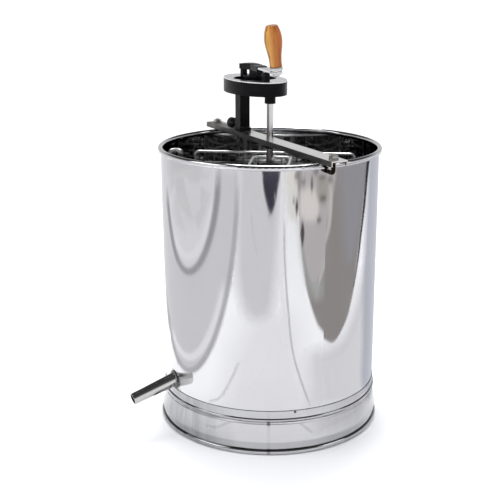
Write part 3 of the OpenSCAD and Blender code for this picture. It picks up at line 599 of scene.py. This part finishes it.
def paper_folds():
    """The backdrop paper in glowing cards: painted shade over parts of it, down its two long folds and in its
    creases, painted light on paler patches, the folds' ridges and one crease, and the leg of a stand.
    """
    near_ellipse = (-75, 21.5, 0.305, 0.21)
    far_ellipse = (-77, 33, 0.125, 0.37)
    near_fold = hanging_arc(*near_ellipse, 4, 162)
    far_fold = hanging_arc(*far_ellipse, 0, 142)
    shade = (0.93, 0.925, 0.955)
    seen_patch("paper_shade", far_fold + [(-106, 0.35), (-107, 0.50)], shade, 0.001, soft=0.002)
    seen_patch("paper_shade_high", [(-62, 0.50), (-60, 0.42), (-70, 0.385), (-84, 0.40), (-90, 0.50)],
               (0.84, 0.83, 0.835), 0.002, soft=0.014, depth=0.9)
    seen_patch("paper_front_high",
               [(-44, 0.50), (-45.5, 0.36), (-43, 0.27), (-35, 0.24), (-26, 0.28), (-24, 0.50)],
               shade, 0.0015, soft=0.012, depth=0.95)
    seen_patch("near_inside", near_fold, (1.06, 1.055, 1.09), 0.0020)
    seen_patch("paper_right_low",
               [(-8, 0.08), (-8, 0.17), (2, 0.185), (12, 0.20), (20, 0.245), (26, 0.29), (36, 0.30),
                (38, 0.08)],
               (0.99, 0.985, 1.03), 0.0009, soft=0.016, depth=0.9)
    seen_patch("paper_right_far",
               [(31, 0.50), (30, 0.40), (29, 0.33), (29, 0.26), (30, 0.17), (32, 0.08), (54, 0.08),
                (54.5, 0.30), (54, 0.50)],
               (0.67, 0.685, 0.765), 0.0018, soft=0.010, depth=0.95)
    seen_patch("paper_front_low",
               [(-50, 0.17), (-48, 0.08), (-8, 0.08), (-14, 0.22), (-24, 0.26), (-40, 0.24)],
               (1.17, 1.165, 1.21), 0.0011, soft=0.03, depth=0.8)
    # Painted shade down the folds and creases, painted light along the ridges and the bright crease.
    seen_line("near_fold", near_fold, (0.0075, 0.010), (0.48, 0.475, 0.505), 0.004)
    seen_line("near_ridge", hanging_arc(*near_ellipse, 27, 124, 0.026), (0.010, 0.010),
              (1.16, 1.15, 1.18), 0.003)
    seen_line("far_fold", far_fold, (0.0055, 0.009), (0.68, 0.675, 0.69), 0.004)
    seen_line("far_ridge", hanging_arc(*far_ellipse, 35, 117, 0.025), (0.010, 0.010),
              (1.20, 1.19, 1.22), 0.003)
    seen_line("low_crease", [(-62, 0.08), (-54, 0.095), (-48, 0.13), (-43.5, 0.165)], (0.003, 0.003),
              (0.86, 0.86, 0.89), 0.004, depth=0.7)
    seen_line("bright_crease", [(-22.5, 0.48), (-23, 0.34), (-21, 0.255), (-19, 0.185)], (0.006, 0.006),
              (1.22, 1.21, 1.26), 0.003, depth=0.8)
    seen_line("crease",
              [(-21.5, 0.415), (-21, 0.34), (-19, 0.255), (-16.5, 0.185), (-12, 0.13), (-6.5, 0.08)],
              (0.0022, 0.0022), (0.72, 0.71, 0.74), 0.004, depth=0.85)
    seen_line("short_crease", [(-37.5, 0.42), (-36.5, 0.385), (-34.5, 0.35)], (0.002, 0.002),
              (0.80, 0.80, 0.84), 0.004, depth=0.6)
    seen_patch("stand_leg",
               [(-32.5, 0.50), (-31.5, 0.46), (-29.5, 0.43), (-28, 0.42), (-26.5, 0.43), (-25, 0.455),
                (-24, 0.50)],
               (0.060, 0.056, 0.082), 0.006, soft=0.0012)


def room_beyond():
    """The darker room on the right, past the paper's edge, in glowing cards: its floor, a rug and things that
    stand on it, a painted shadow along the paper's edge and a paler, painted-lit corner of the paper.
    """
    room = [(-16, 0.50), (-13.5, 0.39), (-12, 0.335), (-8.5, 0.275), (-2.5, 0.22), (4.5, 0.19), (11, 0.205),
            (17.5, 0.245), (22, 0.32), (25.5, 0.40), (28.5, 0.47), (29.5, 0.50)]
    seen_patch("room_floor", room, (0.42, 0.392, 0.378), 0.003, soft=0.0018)
    seen_patch("room_floor_far", [(8, 0.50), (10, 0.40), (14, 0.33), (20, 0.34), (25, 0.42), (27, 0.50)],
               (0.45, 0.445, 0.478), 0.004, soft=0.012, depth=0.9)
    seen_patch("room_grey",
               [(-14, 0.40), (-12.5, 0.35), (-9, 0.295), (-4.5, 0.27), (-1.5, 0.285), (-4, 0.32),
                (-8.5, 0.40)],
               (0.60, 0.615, 0.60), 0.004, soft=0.008, depth=0.9)
    seen_patch("room_rug",
               [(-13.5, 0.50), (-14, 0.415), (-12, 0.365), (-8.5, 0.31), (-4.5, 0.30), (-1, 0.335),
                (1, 0.38), (3, 0.425), (4.5, 0.50)],
               (0.70, 0.665, 0.67), 0.005, soft=0.002)
    seen_patch("room_light",
               [(-14, 0.455), (-13.5, 0.415), (-9.5, 0.405), (-4.5, 0.41), (-4.5, 0.445), (-9, 0.46)],
               (1.04, 0.98, 0.94), 0.0055)
    seen_patch("room_brown", [(-5, 0.475), (-5, 0.44), (-1.5, 0.43), (3, 0.44), (4, 0.475)],
               (0.56, 0.535, 0.49), 0.0058)
    seen_patch("paper_corner", [(-21.5, 0.50), (-20, 0.425), (-16.5, 0.405), (-14.5, 0.42), (-15.5, 0.50)],
               (1.10, 1.085, 1.03), 0.0025, soft=0.004)
    seen_line("room_ridge", [(2, 0.50), (3, 0.43), (2, 0.38), (-1, 0.335), (-4, 0.285)], (0.0035, 0.002),
              (0.86, 0.84, 0.82), 0.006, depth=0.8)
    # Painted shadow along the paper's edge.
    seen_line("sheet_edge_shadow",
              [(31, 0.50), (29.5, 0.47), (27.5, 0.415), (25, 0.365), (22.5, 0.315), (18, 0.255)],
              (0.0085, 0.0014), (0.03, 0.028, 0.034), 0.006)
    things = [(-12.5, 0.470, 1.6, 0.004), (-8, 0.465, 0.7, 0.012), (-16, 0.480, 1.2, 0.005),
              (-15.5, 0.430, 0.8, 0.014), (-12.5, 0.385, 1.1, 0.020), (-3, 0.475, 2.0, 0.003),
              (2.5, 0.470, 1.0, 0.005), (-2.5, 0.440, 1.6, 0.004), (-4, 0.405, 1.4, 0.004),
              (-17, 0.440, 0.7, 0.004), (-6, 0.485, 1.8, 0.004)]
    for i, (turn, height, wide, tall) in enumerate(things):
        diamond = [(turn - wide, height), (turn, height - tall), (turn + wide, height), (turn, height + tall)]
        seen_patch(f"room_thing_{i}", diamond, (0.07, 0.055, 0.05), 0.007, soft=0.001)


def softbox(name, place, target, size, power):
    data = bpy.data.lights.new(name, "AREA")
    data.shape = "RECTANGLE"
    data.size, data.size_y = size
    data.energy = power
    lamp = bpy.data.objects.new(name, data)
    lamp.location = place
    lamp.rotation_euler = (Vector(target) - Vector(place)).to_track_quat("-Z", "Y").to_euler()
    bpy.context.scene.collection.objects.link(lamp)


def studio_world():
    """White behind the object; for everything else bright near the horizon, dark overhead, dimmer behind."""
    world = bpy.data.worlds.new("studio")
    world.use_nodes = True
    bpy.context.scene.world = world
    tree = world.node_tree
    tree.nodes.clear()
    out, seen, white, room, where, split, ramp, lift, mix, facing, sides = (
        tree.nodes.new("ShaderNode" + kind) for kind in (
            "OutputWorld", "LightPath", "Background", "Background", "TexCoord", "SeparateXYZ",
            "ValToRGB", "MapRange", "MixShader", "VectorMath", "MapRange"))
    white.inputs["Color"].default_value = (1, 1, 1, 1)
    stops = [(0.0, 0.95), (0.5, 1.0), (0.655, 0.9), (0.73, 0.12), (1.0, 0.05)]
    while len(ramp.color_ramp.elements) < len(stops):
        ramp.color_ramp.elements.new(0.5)
    for element, (at, grey) in zip(ramp.color_ramp.elements, stops):
        element.position = at
        element.color = (grey, grey, grey * 1.02, 1)
    lift.inputs["From Min"].default_value = -1
    facing.operation = "DOT_PRODUCT"
    facing.inputs[1].default_value = TOWARDS_VIEWER
    for socket, value in (("From Min", -0.35), ("From Max", 0.45), ("To Min", 0.72), ("To Max", 1.0)):
        sides.inputs[socket].default_value = value
    for start, end in ((where.outputs["Generated"], facing.inputs[0]),
                       (facing.outputs["Value"], sides.inputs["Value"]),
                       (sides.outputs["Result"], room.inputs["Strength"]),
                       (where.outputs["Generated"], split.inputs[0]),
                       (split.outputs["Z"], lift.inputs["Value"]),
                       (lift.outputs["Result"], ramp.inputs["Fac"]),
                       (ramp.outputs["Color"], room.inputs["Color"]),
                       (seen.outputs["Is Camera Ray"], mix.inputs[0]),
                       (room.outputs[0], mix.inputs[1]),
                       (white.outputs[0], mix.inputs[2]),
                       (mix.outputs[0], out.inputs[0])):
        tree.links.new(start, end)


def broad_sky(name, strength, turn):
    """Wide, even light from above that no reflection shows."""
    data = bpy.data.lights.new(name, "SUN")
    data.energy = strength
    data.angle = math.radians(100)
    lamp = bpy.data.objects.new(name, data)
    lamp.rotation_euler = [math.radians(a) for a in turn]
    lamp.visible_glossy = False
    bpy.context.scene.collection.objects.link(lamp)


def camera_at_viewer():
    data = bpy.data.cameras.new("camera")
    data.lens = LENS
    data.sensor_width = SENSOR
    data.clip_end = 100
    camera = bpy.data.objects.new("camera", data)
    camera.location = VIEWER
    camera.rotation_euler = (math.radians(90 - VIEW_TILT), 0, math.radians(VIEW_TURN))
    bpy.context.scene.collection.objects.link(camera)
    bpy.context.scene.camera = camera


spout_solder()
pale_floor()
paper_folds()
room_beyond()
studio_world()
broad_sky("sky", 3.0, (4, -6, 0))
softbox("key", (-0.6, -2.6, 2.6), (0, 0, 0.3), (2.0, 1.4), 26)
softbox("fill", (2.2, 2.4, 2.4), (0, 0, 0.3), (1.8, 1.2), 14)
softbox("top", (-0.9, 0.5, 3.0), (0, 0, 0.2), (1.3, 1.3), 60)
camera_at_viewer()
bpy.context.scene.view_settings.view_transform = "Standard"
